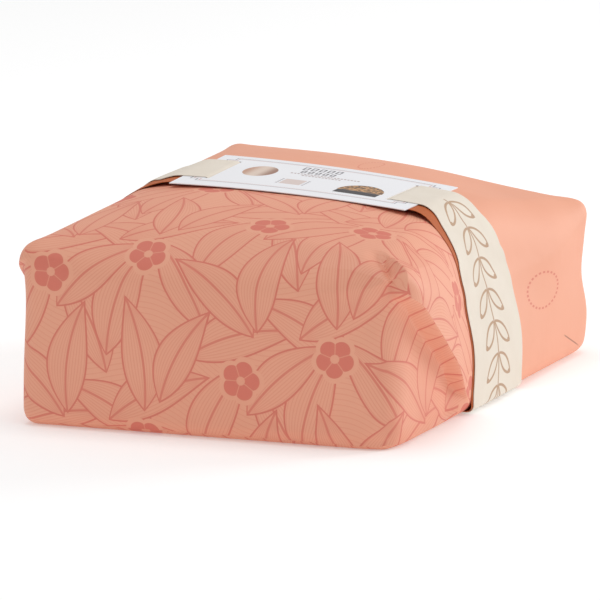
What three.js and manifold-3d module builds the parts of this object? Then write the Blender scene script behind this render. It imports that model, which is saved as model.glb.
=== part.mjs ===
// A festive cake parcel: a soft crowned box wrapped by hand in paper, a dark band of
// paper round its middle, a wide ribbon over the band, and a label card that the
// ribbon threads through. Millimetres, +Z up. The short printed end faces -Y, the
// ribbon runs in the XZ plane and the origin is the middle of the base.

import * as THREE from "three";
import { mergeVertices } from "three/addons/utils/BufferGeometryUtils.js";
import Module from "manifold-3d";

// ---------------------------------------------------------------- driving dimensions

// The box under the paper
const HALF_WIDTH = 122.5;
const HALF_LENGTH = 174.5;
const FLAT_HEIGHT = 110;
const CORNER_HEIGHT = { frontLeft: 112.5, frontRight: 114, backLeft: 122, backRight: 97 };
const CROWN = 23.5;
const CROWN_POWER = 2.4;
const BASE_RADIUS = 10.5;
const SIDE_SHOULDER = { middle: 33, end: 14.5 };
const END_SHOULDER = { middle: 35, end: 15.5 };
const SHOULDER_DROP = 0.45;
const FLARE = 0.8;
const WALL_BULGE = 2;

// The diagonal fold that closes each long wall over the printed half
const FOLD = {
  topY: -183, topZ: 112, footY: -42, footZ: 5, rightRise: 8, leftRise: 3.5, below: 12, above: 60,
};

// Where hands and ribbon have pushed the paper: place, reach and move
const PUSHES = [
  { at: [-122, -174, 113], reach: [12, 12, 10], move: [-1, -1, 1.5] },
  { at: [-115, -55, 118], reach: [26, 30, 30], move: [0.5, 0, -2] },
  { at: [122, 174, 97], reach: [14, 14, 14], move: [2.5, 2.5, 3] },
  { at: [75, 110, 118], reach: [32, 36, 40], move: [0, 0, -3] },
  { at: [122, 174, 28], reach: [30, 30, 15], move: [0.8, 0.8, 0] },
  { at: [122, 174, 53], reach: [34, 34, 17], move: [-1.9, -1.9, 0] },
  { at: [122, -174, 0], reach: [16, 16, 16], move: [-4.5, 4.5, 0] },
  { at: [122, 174, 0], reach: [9, 9, 9], move: [-2.5, -2.5, 0] },
];

// The ribbon's pull on both long walls, level over its own width
const WAIST = { right: 9, left: 4.5, levelTo: 38, goneBy: 120, z: 74, reach: 28.5, round: 0.58 };

// How much further the paper rounds the corner that it is drawn over, halfway up
const SOFT_CORNER = { x: 14, y: 24 };

// The straps, each a closed loop that lies in a shallow channel under the base
const GAP = 0.3;
const FLOOR_CLEARANCE = 0.4;
const BAND = { thick: 0.6, front: -45, back: 26 };
const RIBBON = { thick: 0.7, halfAtWall: 43, halfAtSlit: 29.5, widenFrom: 66, widenTo: 108 };
const STRAP_CORNER = 3.5;
const CHANNEL_HALF = 47;
const CHANNEL_DEPTH = FLOOR_CLEARANCE + RIBBON.thick + GAP + BAND.thick + GAP;
const STRAP_ROWS = { band: 4, ribbon: 5 };
const BASE_RUN = { half: 112, steps: 7 };

// The label card and the two slits for the ribbon
const CARD = { x: 4, y: -4, halfX: 80, halfY: 48, thick: 0.8 };
const SLIT = { x: 60, halfWide: 3, halfLong: 31 };
const FREE_FALL = { from: 85, to: 99 };
const CARD_STEPS = { x: 26, y: 6 };

// ---------------------------------------------------------------- small helpers

const clamp01 = (x) => Math.min(1, Math.max(0, x));
const mix = (a, b, t) => a + (b - a) * t;

function ease(from, to, x) {
  const t = clamp01((x - from) / (to - from));
  return t * t * (3 - 2 * t);
}

/** Climbs from 0 at -1 to 1 in the middle and back to 0 at 1, level at all three. */
function arch(t) {
  const height = Math.cos((t * Math.PI) / 2);
  return height * ease(0, 0.3, height);
}

/** Evenly spaced steps from -1 to 1, drawn together towards both ends. */
function towardsEnds(steps, power = 1.5) {
  return Array.from({ length: steps + 1 }, (_, i) => {
    const t = (2 * i) / steps - 1;
    return Math.sign(t) * (1 - (1 - Math.abs(t)) ** power);
  });
}

// The lines of the pack's skin, which the straps share
const GRID = { us: towardsEnds(22), vs: towardsEnds(32), ws: towardsEnds(15, 1.3) };

/** A mesh geometry from a list of points and a list of triangles of their indices. */
function geometryOf(points, triangles) {
  const geometry = new THREE.BufferGeometry();
  geometry.setAttribute("position", new THREE.Float32BufferAttribute(points.flat(), 3));
  geometry.setIndex(triangles.flat());
  return geometry;
}

// ---------------------------------------------------------------- the wrapped pack

/** How far the diagonal fold lifts the paper of a long wall at (x, y, z). */
function foldRise(x, y, z) {
  const runY = FOLD.footY - FOLD.topY;
  const runZ = FOLD.footZ - FOLD.topZ;
  const long = Math.hypot(runY, runZ);
  const across = ((z - FOLD.topZ) * runY - (y - FOLD.topY) * runZ) / long;
  const along = ((y - FOLD.topY) * runY + (z - FOLD.topZ) * runZ) / long ** 2;
  const ridge = Math.exp(across < 0 ? across / FOLD.below : -across / FOLD.above);
  const ends = ease(-0.02, 0.22, along) * (1 - ease(0.62, 0.98, along)) * ease(0, 12, z);
  const rise = x > 0 ? FOLD.rightRise : FOLD.leftRise;
  return rise * ridge * ends * ease(0.86, 1, Math.abs(x) / HALF_WIDTH);
}

/** How far the ribbon draws a long wall in at (x, y, z). */
function waist(x, y, z) {
  const depth = x > 0 ? WAIST.right : WAIST.left;
  const along = 1 - ease(WAIST.levelTo, WAIST.goneBy, Math.abs(y));
  const up = Math.exp(-(((z - WAIST.z) / WAIST.reach) ** 2));
  return depth * along * up * ease(0.5, 0.95, Math.abs(x) / HALF_WIDTH);
}

/** The paper's surface at (u, v, w), a point on the skin of the cube from -1 to 1. */
function packPoint(u, v, w) {
  const flatX = u * HALF_WIDTH;
  const flatY = v * HALF_LENGTH;
  const flatZ = ((w + 1) / 2) * FLAT_HEIGHT;

  // round the edges of the box, widely along the shoulders and tightly at the base
  const high = ease(0.2, 0.8, flatZ / FLAT_HEIGHT);
  const along = arch(v);
  const over = arch(u);
  const shoulderX = mix(BASE_RADIUS, mix(SIDE_SHOULDER.end, SIDE_SHOULDER.middle, along), high);
  const shoulderY = mix(BASE_RADIUS, mix(END_SHOULDER.end, END_SHOULDER.middle, over), high);
  const dropShare = SHOULDER_DROP + WAIST.round * along * ease(0.2, 0.8, u);
  const drop = mix(BASE_RADIUS, dropShare * (shoulderX + shoulderY), high);
  const soft = ease(0.3, 0.75, u) * ease(0.3, 0.75, -v) * Math.sin((flatZ / FLAT_HEIGHT) * Math.PI);
  const radiusX = shoulderX + SOFT_CORNER.x * soft;
  const radiusY = shoulderY + SOFT_CORNER.y * soft;
  const inX = Math.max(Math.abs(flatX) - (HALF_WIDTH - radiusX), 0) / radiusX;
  const inY = Math.max(Math.abs(flatY) - (HALF_LENGTH - radiusY), 0) / radiusY;
  const atTop = flatZ > FLAT_HEIGHT / 2;
  const inZ = atTop
    ? Math.max(flatZ - (FLAT_HEIGHT - drop), 0) / drop
    : Math.max(BASE_RADIUS - flatZ, 0) / BASE_RADIUS;
  const size = Math.hypot(inX, inY, inZ) || 1;
  let x = inX > 0 ? Math.sign(flatX) * (HALF_WIDTH - radiusX + (radiusX * inX) / size) : flatX;
  let y = inY > 0 ? Math.sign(flatY) * (HALF_LENGTH - radiusY + (radiusY * inY) / size) : flatY;
  let z = flatZ;
  if (inZ > 0) {
    z = atTop ? FLAT_HEIGHT - drop + (drop * inZ) / size : BASE_RADIUS * (1 - inZ / size);
  }

  // four corner heights, and the crown that the cake pushes up between them
  const level = z / FLAT_HEIGHT;
  const shareX = x / HALF_WIDTH;
  const shareY = y / HALF_LENGTH;
  const front = mix(CORNER_HEIGHT.frontLeft, CORNER_HEIGHT.frontRight, (shareX + 1) / 2);
  const back = mix(CORNER_HEIGHT.backLeft, CORNER_HEIGHT.backRight, (shareX + 1) / 2);
  const dome = (1 - Math.abs(shareX) ** CROWN_POWER) * (1 - Math.abs(shareY) ** CROWN_POWER);
  z = level * mix(front, back, (shareY + 1) / 2) + CROWN * dome * level ** 3;

  // walls that flare a little and belly out between the corners
  const belly = WALL_BULGE * Math.sin(Math.PI * clamp01(level));
  const bellyX = belly * ease(0.6, 1, Math.abs(shareX)) * (1 - shareY ** 2);
  const bellyY = belly * ease(0.6, 1, Math.abs(shareY)) * (1 - shareX ** 2);
  x += shareX * FLARE * level + Math.sign(x) * bellyX;
  y += shareY * FLARE * level + Math.sign(y) * bellyY;
  x += Math.sign(x) * (foldRise(x, y, z) - waist(x, y, z));

  const point = [x, y, z];
  for (const { at, reach, move } of PUSHES) {
    const away = Math.hypot(...at.map((place, i) => ([x, y, z][i] - place) / reach[i]));
    const weight = Math.exp(-(away ** 2));
    for (let i = 0; i < 3; i += 1) {
      point[i] += weight * move[i];
    }
  }
  point[2] = Math.max(point[2], 0);
  return point;
}

/**
 * A closed skin over the cube's six faces, with one vertex for each point of its grid.
 * The long walls' cells are split the way that the diagonal fold runs.
 */
function boxSolid(us, vs, ws, pointAt) {
  const points = [];
  const triangles = [];
  const known = new Map();
  const last = [us.length - 1, vs.length - 1, ws.length - 1];
  const vertex = (i, j, k) => {
    const key = `${i} ${j} ${k}`;
    if (!known.has(key)) {
      known.set(key, points.length);
      points.push(pointAt(us[i], vs[j], ws[k]));
    }
    return known.get(key);
  };
  const face = (stepsA, stepsB, place, splitsAcross = false) => {
    for (let a = 0; a < stepsA; a += 1) {
      for (let b = 0; b < stepsB; b += 1) {
        const corners = [[a, b], [a + 1, b], [a + 1, b + 1], [a, b + 1]];
        const [p, q, r, s] = corners.map(([i, j]) => vertex(...place(i, j)));
        if (splitsAcross) {
          triangles.push([p, q, s], [q, r, s]);
        } else {
          triangles.push([p, q, r], [p, r, s]);
        }
      }
    }
  };
  const [nu, nv, nw] = last;
  face(nu, nv, (a, b) => [a, b, nw]);
  face(nv, nu, (a, b) => [b, a, 0]);
  face(nu, nw, (a, b) => [a, 0, b]);
  face(nw, nu, (a, b) => [b, nv, a]);
  face(nv, nw, (a, b) => [nu, a, b], true);
  face(nw, nv, (a, b) => [0, b, a], true);
  return geometryOf(points, triangles);
}

// ---------------------------------------------------------------- straps and card

/** The height of the pack's top at x on the middle line, and how it climbs with y. */
function topLine(x) {
  const u = x / HALF_WIDTH;
  const reach = CHANNEL_HALF / HALF_LENGTH;
  const back = packPoint(u, reach, 1)[2];
  const front = packPoint(u, -reach, 1)[2];
  return { height: packPoint(u, 0, 1)[2], climb: (back - front) / (2 * CHANNEL_HALF) };
}

/** The loop that a strap follows, as functions from y to the [x, z] of each station. */
function strapStations() {
  const wallFoot = BASE_RADIUS - STRAP_CORNER;
  const footLevel = ((CHANNEL_DEPTH + STRAP_CORNER + wallFoot) / FLAT_HEIGHT) * 2 - 1;
  const onPack = (u, w) => (y) => {
    const [x, , z] = packPoint(u, y / HALF_LENGTH, w);
    const middle = packPoint(u, 0, w);
    const free = 1 - ease(FREE_FALL.from, FREE_FALL.to, Math.abs(middle[0]));
    const flat = w < 1 ? z : middle[2] + topLine(u * HALF_WIDTH).climb * y;
    return [mix(x, middle[0], free), mix(z, flat, free)];
  };
  const corner = (side, turn) => (y) => {
    const wall = Math.abs(packPoint(side, y / HALF_LENGTH, footLevel)[0]);
    const x = wall - STRAP_CORNER * (1 - Math.cos(turn));
    const z = CHANNEL_DEPTH + STRAP_CORNER * (1 - Math.sin(turn));
    return [side * x, z];
  };
  const slitXs = [-1, 1].flatMap((side) => [-1, 0, 1]
    .map((edge) => CARD.x + side * SLIT.x + edge * SLIT.halfWide));
  const topXs = [...slitXs, ...GRID.us.map((u) => u * HALF_WIDTH)].sort((a, b) => a - b);
  const wallLevels = [...GRID.ws.filter((w) => w < 1 && w > footLevel).reverse(), footLevel];
  const turns = [0.25, 0.5, 0.75].map((t) => t * (Math.PI / 2));
  const baseXs = Array.from(
    { length: BASE_RUN.steps + 1 },
    (_, i) => mix(BASE_RUN.half, -BASE_RUN.half, i / BASE_RUN.steps),
  );
  return [
    ...topXs.map((x) => onPack(x / HALF_WIDTH, 1)),
    ...wallLevels.map((w) => onPack(1, w)),
    ...turns.map((turn) => corner(1, turn)),
    ...baseXs.map((x) => () => [x, CHANNEL_DEPTH]),
    ...[...turns].reverse().map((turn) => corner(-1, turn)),
    ...[...wallLevels].reverse().map((w) => onPack(-1, w)),
  ];
}

/** A closed sheet over a grid: point(i, j, side) with side 0 below and 1 on top. */
function sheetSolid(columns, rows, point, { loop = false, isOpen = () => false } = {}) {
  const points = [];
  const triangles = [];
  const known = new Map();
  const cells = loop ? columns : columns - 1;
  const vertex = (i, j, side) => {
    const column = i % columns;
    const key = `${column} ${j} ${side}`;
    if (!known.has(key)) {
      known.set(key, points.length);
      points.push(point(column, j, side));
    }
    return known.get(key);
  };
  const solid = (i, j) => {
    const inside = j >= 0 && j < rows - 1 && (loop || (i >= 0 && i < cells));
    return inside && !isOpen((i + cells) % cells, j);
  };
  const quad = (...corners) => {
    const [p, q, r, s] = corners.map((corner) => vertex(...corner));
    triangles.push([p, q, r], [p, r, s]);
  };
  for (let i = 0; i < cells; i += 1) {
    for (let j = 0; j < rows - 1; j += 1) {
      if (!solid(i, j)) {
        continue;
      }
      const [iNext, jNext] = [i + 1, j + 1];
      quad([i, j, 1], [iNext, j, 1], [iNext, jNext, 1], [i, jNext, 1]);
      quad([i, jNext, 0], [iNext, jNext, 0], [iNext, j, 0], [i, j, 0]);
      if (!solid(i, j - 1)) {
        quad([i, j, 0], [iNext, j, 0], [iNext, j, 1], [i, j, 1]);
      }
      if (!solid(i, jNext)) {
        quad([i, jNext, 1], [iNext, jNext, 1], [iNext, jNext, 0], [i, jNext, 0]);
      }
      if (!solid(i - 1, j)) {
        quad([i, j, 0], [i, j, 1], [i, jNext, 1], [i, jNext, 0]);
      }
      if (!solid(iNext, j)) {
        quad([iNext, j, 1], [iNext, j, 0], [iNext, jNext, 0], [iNext, jNext, 1]);
      }
    }
  }
  return geometryOf(points, triangles);
}

/** A strap round the pack: its span in y, and its lift off the paper, at each station. */
function strapSolid(rows, spanAt, liftAt, thick) {
  const stations = strapStations();
  const count = stations.length;
  return sheetSolid(count, rows, (i, j, side) => {
    const [x0, z0] = stations[i](0);
    const [from, to] = spanAt(x0, z0);
    const y = mix(from, to, j / (rows - 1));
    const [x, z] = stations[i](y);
    const [beforeX, beforeZ] = stations[(i + count - 1) % count](y);
    const [afterX, afterZ] = stations[(i + 1) % count](y);
    const run = Math.hypot(afterX - beforeX, afterZ - beforeZ);
    const off = liftAt(x0, z0) + side * thick;
    return [x - (off * (afterZ - beforeZ)) / run, y, z + (off * (afterX - beforeX)) / run];
  }, { loop: true });
}

const ribbonRest = GAP + BAND.thick + GAP;
const ribbonOverCard = ribbonRest + CARD.thick + GAP;
const cardOverRibbon = ribbonRest + RIBBON.thick + GAP;

/** 0 between the two slits, 1 outside them. */
function pastSlit(x) {
  const away = Math.abs(x - CARD.x) - SLIT.x;
  return clamp01((away + SLIT.halfWide) / (2 * SLIT.halfWide));
}

function ribbonLift(x, z) {
  if (z < FLAT_HEIGHT) return ribbonRest;
  const offCard = ease(CARD.halfX + 2, CARD.halfX + 16, Math.abs(x - CARD.x));
  return mix(mix(ribbonRest, ribbonOverCard, pastSlit(x)), ribbonRest, offCard);
}

function ribbonSpan(x, z) {
  const wide = ease(RIBBON.widenFrom, RIBBON.widenTo, Math.abs(x - CARD.x));
  const half = z < FLAT_HEIGHT * 0.8
    ? RIBBON.halfAtWall
    : mix(RIBBON.halfAtSlit, RIBBON.halfAtWall, wide);
  return [-half, half];
}

/** The card's grid lines along one axis, with a slit's two edges among them. */
function cardLines(from, to, edges, steps) {
  const plain = Array.from({ length: steps + 1 }, (_, i) => mix(from, to, i / steps));
  return [...plain.filter((p) => edges.every((e) => Math.abs(e - p) > 2)), ...edges]
    .sort((a, b) => a - b);
}

function cardSolid() {
  const slitEdges = [-1, 1].flatMap((side) => [-1, 1]
    .map((edge) => CARD.x + side * SLIT.x + edge * SLIT.halfWide));
  const slitEnds = [-SLIT.halfLong, SLIT.halfLong];
  const xs = cardLines(CARD.x - CARD.halfX, CARD.x + CARD.halfX, slitEdges, CARD_STEPS.x);
  const ys = cardLines(CARD.y - CARD.halfY, CARD.y + CARD.halfY, slitEnds, CARD_STEPS.y);
  const within = (x, y) => Math.abs(Math.abs(x - CARD.x) - SLIT.x) < SLIT.halfWide
    && Math.abs(y) < SLIT.halfLong;
  const isOpen = (i, j) => within((xs[i] + xs[i + 1]) / 2, (ys[j] + ys[j + 1]) / 2);
  return sheetSolid(xs.length, ys.length, (i, j, side) => {
    const { height, climb } = topLine(xs[i]);
    const lift = mix(cardOverRibbon, ribbonRest, pastSlit(xs[i]));
    return [xs[i], ys[j], height + climb * ys[j] + lift + side * CARD.thick];
  }, { isOpen });
}

// ---------------------------------------------------------------- joining and cutting

const wasm = await Module();
wasm.setup();

function toManifold(geometry) {
  return new wasm.Manifold(new wasm.Mesh({
    numProp: 3,
    vertProperties: new Float32Array(geometry.getAttribute("position").array),
    triVerts: new Uint32Array(geometry.getIndex().array),
  }));
}

function fromManifold(solid) {
  const { vertProperties, triVerts } = solid.getMesh();
  const geometry = new THREE.BufferGeometry();
  geometry.setAttribute("position", new THREE.BufferAttribute(vertProperties, 3));
  geometry.setIndex(new THREE.BufferAttribute(triVerts, 1));
  return geometry;
}

/** The pack, with the shallow channel that the straps press into its base. */
function packSolid() {
  const skin = boxSolid(GRID.us, GRID.vs, GRID.ws, packPoint);
  const box = new THREE.BoxGeometry(3 * HALF_WIDTH, 2 * CHANNEL_HALF, 2 * CHANNEL_DEPTH);
  box.deleteAttribute("normal");
  box.deleteAttribute("uv");
  const channel = mergeVertices(box);
  return fromManifold(toManifold(skin).subtract(toManifold(channel)));
}

// ---------------------------------------------------------------- the parcel

function namedMesh(name, geometry, color, roughness) {
  const material = new THREE.MeshStandardMaterial({ color, roughness, metalness: 0 });
  const mesh = new THREE.Mesh(geometry, material);
  mesh.name = name;
  return mesh;
}

const parcel = new THREE.Group();
parcel.add(
  namedMesh("wrapped_pack", packSolid(), 0xf0b394, 0.62),
  namedMesh(
    "paper_band",
    strapSolid(STRAP_ROWS.band, () => [BAND.front, BAND.back], () => GAP, BAND.thick),
    0xa4532c,
    0.7,
  ),
  namedMesh(
    "ribbon",
    strapSolid(STRAP_ROWS.ribbon, ribbonSpan, ribbonLift, RIBBON.thick),
    0xe9ddcc,
    0.85,
  ),
  namedMesh("label_card", cardSolid(), 0xf1f1f5, 0.5),
);

export default parcel;
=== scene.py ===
# A festive cake parcel in printed paper, with a russet paper band, a woven ribbon and a
# label card. Lengths are millimetres until make_object() turns them into metres. The
# printed short end faces -Y, and +Z is up.

import math

import bpy
import numpy as np
from mathutils import Matrix, Vector


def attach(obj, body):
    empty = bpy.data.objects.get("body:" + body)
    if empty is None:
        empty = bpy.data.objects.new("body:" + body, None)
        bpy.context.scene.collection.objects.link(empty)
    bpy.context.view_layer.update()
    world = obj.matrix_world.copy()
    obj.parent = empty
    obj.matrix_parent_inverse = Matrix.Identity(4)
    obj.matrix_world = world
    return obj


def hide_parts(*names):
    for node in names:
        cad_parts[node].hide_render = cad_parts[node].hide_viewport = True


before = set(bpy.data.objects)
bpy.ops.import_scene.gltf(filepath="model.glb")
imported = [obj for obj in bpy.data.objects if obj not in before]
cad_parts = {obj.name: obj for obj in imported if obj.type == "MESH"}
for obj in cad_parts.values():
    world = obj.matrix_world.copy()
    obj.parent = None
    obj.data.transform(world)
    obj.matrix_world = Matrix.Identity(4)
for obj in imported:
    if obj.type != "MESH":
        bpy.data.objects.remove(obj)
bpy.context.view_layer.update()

MM = 0.001

# ---------- driving dimensions

# The box under the paper. Corners are the left and the right one's height, and shoulders
# the radius at their ends and in their middle.
HALF_WIDTH = 122.5
HALF_LENGTH = 174.5
FLAT_HEIGHT = 110.0
FRONT_CORNERS = (112.5, 114.0)
BACK_CORNERS = (122.0, 97.0)
CROWN = 23.5
CROWN_POWER = 2.4
BASE_RADIUS = 10.5
SIDE_SHOULDER = (14.5, 33.0)
END_SHOULDER = (15.5, 35.0)
SHOULDER_LEVEL = (0.2, 0.8)  # shares of the height
SHOULDER_DROP = 0.45
FLARE = 0.8
WALL_BULGE = 2.0
SHARP_ANGLE = 40

# A pair of numbers below is where a form starts and where it is full, for ease(). The
# fold and its tuck start and end by shares of the way down the fold.

# The diagonal fold that closes each long wall over the printed half
FOLD = {"top_y": -183.0, "top_z": 112.0, "foot_y": -42.0, "foot_z": 5.0,
        "right_rise": 8.0, "left_rise": 3.5, "below": 12.0, "above": 60.0,
        "start": (-0.02, 0.22), "end": (0.98, 0.62), "off_floor": (0.0, 12.0),
        "near_wall": (0.86, 1.0)}

# Where the fold of the right wall turns back over the shoulder
HOOK = {"y": -163.0, "up": 106.0, "slope": 0.68, "round": 6.0, "edge": 123.0}

# How far the paper in front of the fold runs in under it, and how tight its lip is. On the
# right wall it starts by the way up the wall and in over the shoulder.
TUCK = {"right": 9.5, "left": 3.5, "deeper": 0.3, "deepest": 0.36, "spread": 0.22,
        "reach": 42.0, "lip": 3.0, "right_start": (150.0, 120.0), "left_start": (0.0, 0.22),
        "end": (0.96, 0.8), "off_floor": (0.0, 8.0), "near_wall": (0.64, 0.86)}

# Where hands and ribbon have pushed the paper: place, reach and move
PUSHES = [
    ((-122, -174, 113), (12, 12, 10), (-1.0, -1.0, 1.5)),
    ((-115, -55, 118), (26, 30, 30), (0.5, 0.0, -0.6)),
    ((-92, -14, 122), (26, 44, 30), (0.0, 0.0, 2.2)),
    ((122, 174, 97), (14, 14, 14), (2.5, 2.5, 3.0)),
    ((75, 110, 118), (32, 36, 40), (0.0, 0.0, -3.0)),
    ((122, 174, 28), (30, 30, 15), (0.8, 0.8, 0.0)),
    ((122, 174, 53), (34, 34, 17), (-1.9, -1.9, 0.0)),
    ((122, -174, 0), (16, 16, 16), (-4.5, 4.5, 0.0)),
    ((122, 174, 0), (9, 9, 9), (-2.5, -2.5, 0.0)),
    ((4, -8, 131), (80, 72, 40), (0.0, 0.0, -6.0)),
]

# The ribbon's pull on both long walls, level over its own width, and how it rounds the
# right shoulder
WAIST = {"right": 9.0, "left": 4.5, "along": (120.0, 38.0), "z": 74.0, "reach": 28.5,
         "near_wall": (0.5, 0.95), "round": 0.58, "round_at": (0.2, 0.8)}

# How much further the paper rounds the corner that it is drawn over, halfway up
SOFT_CORNER = {"x": 14.0, "y": 24.0, "at": (0.3, 0.75)}

# The straps, each a loop that lies in a shallow channel under the base. Each starts to rise
# off the pack and has risen by its way outside the card's slits.
BAND = {"lift": 0.15, "thick": 0.3, "front": -45.0, "back": 26.0, "rise": (4.0, 15.0), "rows": 12,
        "top_steps": 80}
RIBBON = {"lift": 0.8, "thick": 0.4, "half_at_wall": 43.0, "half_at_slit": 26.8,
          "widen_at_x": (82.0, 121.0), "widen_at_z": (10.0, 114.0), "turn_at": (84.0, 108.0),
          "left_front": -9.0, "rise": (-26.0, -3.0), "rows": 18, "top_steps": 104}
STRAP_CORNER = 3.5
STRAP_BASE = 2.0
STRAP_STEPS = {"wall": 46, "turn": 6, "base": 12}
WALL_TOP = 88.0  # below this height a strap lies on the wall
FREE_FALL = (99.0, 85.0)  # the x over which a strap leaves the pack for the card's plane

# The label card and the two slits for the ribbon, which lie a little off its middle
CARD = {"x": 4.9, "y": -5.0, "half_x": 77.3, "half_y": 47.0, "thick": 0.5, "gap": 0.15,
        "let_down": (1.0, 18.0), "steps_x": 62, "steps_y": 24}
SLIT = {"left": -56.0, "right": 62.3, "y": -2.3, "half_wide": 1.2, "half_long": 28.0}

# The stiff card's own gentle bow, which spans the crown and stands off it at both ends
BOARD = {"z": 131.2, "slope": -0.0552, "bow": -0.000355, "climb": 0.0062, "twist": -0.000258}

# The camera, fitted to the photograph's 600-pixel frame
CAMERA = {"azimuth": 21.1956, "elevation": 10.6806, "distance": 5434.0, "right": -5.8066,
          "up": 54.0374, "focal_px": 8766.0, "sensor": 36.0, "frame_px": 600}

# The stage, in metres. A lamp's share of 1 lights a white surface that faces it to white.
PACK_MIDDLE = Vector((0.0, 0.0, 0.06))
LAMPS = [
    # name, direction from the pack, distance, size, share
    ("side", (0.64, 0.73, 0.26), 3.0, 1.3, 0.38),
    ("overhead", (0.0, 0.0, 1.0), 3.0, 2.0, 0.34),
]
WORLD_SHARE = 0.53
FLOOR = {"radius": 9.0, "sides": 64, "light": (0.9, 0.9, 0.9, 1), "deep": (0.88, 0.88, 0.88, 1),
         "glow": 0.24}

# Steps of the pack's surface
SKIN_STEPS = {"u": 96, "w": 64, "before_fold": 56, "behind_fold": 104}


# ---------- small helpers

def clamp01(x):
    return np.clip(x, 0.0, 1.0)


def mix(a, b, t):
    return a + (b - a) * t


def ease(start, end, x):
    """0 up to start and 1 from end on, for start above end too."""
    t = clamp01((x - start) / (end - start))
    return t * t * (3 - 2 * t)


def arch(t):
    """Climbs from 0 at -1 to 1 in the middle and back to 0 at 1, level at all three."""
    height = np.cos(t * math.pi / 2)
    return height * ease(0, 0.3, height)


def towards_ends(steps, power=1.5, low=-1.0, high=1.0):
    """Steps from low to high, drawn together towards both ends."""
    t = 2 * np.arange(steps + 1) / steps - 1
    t = np.sign(t) * (1 - (1 - np.abs(t)) ** power)
    return mix(low, high, (t + 1) / 2)


def grid_lines(middle, half, steps, edges):
    """Even lines about a middle, with the edges in place of lines near them."""
    even = np.linspace(middle - half, middle + half, steps + 1)
    clear = (even[1] - even[0]) / 4
    plain = [line for line in even if min(abs(line - edge) for edge in edges) > clear]
    return np.array(sorted(plain + list(edges)))


# ---------- the wrapped pack

def up_the_wall(x, z):
    """The way up the right wall and in over its shoulder. Elsewhere, the height."""
    return z + np.where(x > 0, np.maximum(HOOK["edge"] - x, 0), 0)


def across_fold(x, y, z):
    """How far a point lies behind the diagonal fold, and its share of the way down it."""
    run_y = FOLD["foot_y"] - FOLD["top_y"]
    run_z = FOLD["foot_z"] - FOLD["top_z"]
    long = math.hypot(run_y, run_z)
    up = up_the_wall(x, z)
    straight = FOLD["top_y"] + (up - FOLD["top_z"]) * run_y / run_z
    turned = HOOK["y"] + (up - HOOK["up"]) * HOOK["slope"]
    bent = HOOK["round"] * np.logaddexp(straight / HOOK["round"], turned / HOOK["round"])
    line = np.where(x > 0, bent, straight)
    along = ((y - FOLD["top_y"]) * run_y + (z - FOLD["top_z"]) * run_z) / long ** 2
    return (line - y) * run_z / long, along


def fades(form, x, z, along):
    """Fades a form of the fold out at its foot, at the floor and away from the wall."""
    share = ease(*form["end"], along) * ease(*form["off_floor"], z)
    return share * ease(*form["near_wall"], np.abs(x) / HALF_WIDTH)


def fold_rise(x, y, z):
    """How far the diagonal fold lifts the paper of a long wall."""
    across, along = across_fold(x, y, z)
    ridge = np.exp(np.where(across < 0, across / FOLD["below"], -across / FOLD["above"]))
    rise = np.where(x > 0, FOLD["right_rise"], FOLD["left_rise"])
    return rise * ridge * ease(*FOLD["start"], along) * fades(FOLD, x, z, along)


def tuck(x, y, z):
    """How far the paper in front of the diagonal fold runs in under the flap behind it."""
    across, along = across_fold(x, y, z)
    in_front = np.exp(np.minimum(across, 0) / TUCK["reach"]) * ease(0, TUCK["lip"], -across)
    right_start = ease(*TUCK["right_start"], up_the_wall(x, z))
    start = np.where(x > 0, right_start, ease(*TUCK["left_start"], along))
    depth = np.where(x > 0, TUCK["right"], TUCK["left"])
    deeper = TUCK["deeper"] * np.exp(-((along - TUCK["deepest"]) / TUCK["spread"]) ** 2)
    return depth * (1 + deeper) * in_front * start * fades(TUCK, x, z, along)


def waist(x, y, z):
    """How far the ribbon draws a long wall in."""
    depth = np.where(x > 0, WAIST["right"], WAIST["left"])
    up = np.exp(-((z - WAIST["z"]) / WAIST["reach"]) ** 2)
    near_wall = ease(*WAIST["near_wall"], np.abs(x) / HALF_WIDTH)
    return depth * ease(*WAIST["along"], np.abs(y)) * up * near_wall


def edge_sizes(u, v, level):
    """The radii along x and y and the drop of the box's edges, wide along the shoulders
    and tight at the base."""
    high = ease(*SHOULDER_LEVEL, level)
    along = arch(v)
    side = mix(BASE_RADIUS, mix(*SIDE_SHOULDER, along), high)
    end = mix(BASE_RADIUS, mix(*END_SHOULDER, arch(u)), high)
    drop_share = SHOULDER_DROP + WAIST["round"] * along * ease(*WAIST["round_at"], u)
    drop = mix(BASE_RADIUS, drop_share * (side + end), high)
    soft = ease(*SOFT_CORNER["at"], u) * ease(*SOFT_CORNER["at"], -v) * np.sin(level * math.pi)
    return side + SOFT_CORNER["x"] * soft, end + SOFT_CORNER["y"] * soft, drop


def into_edge(flat, half, radius):
    """The share of an edge's radius that a coordinate has gone into it."""
    return np.maximum(np.abs(flat) - (half - radius), 0) / radius


def rounded_off(flat, half, radius, share):
    return np.where(share > 0, np.sign(flat) * (half - radius + radius * share), flat)


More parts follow.
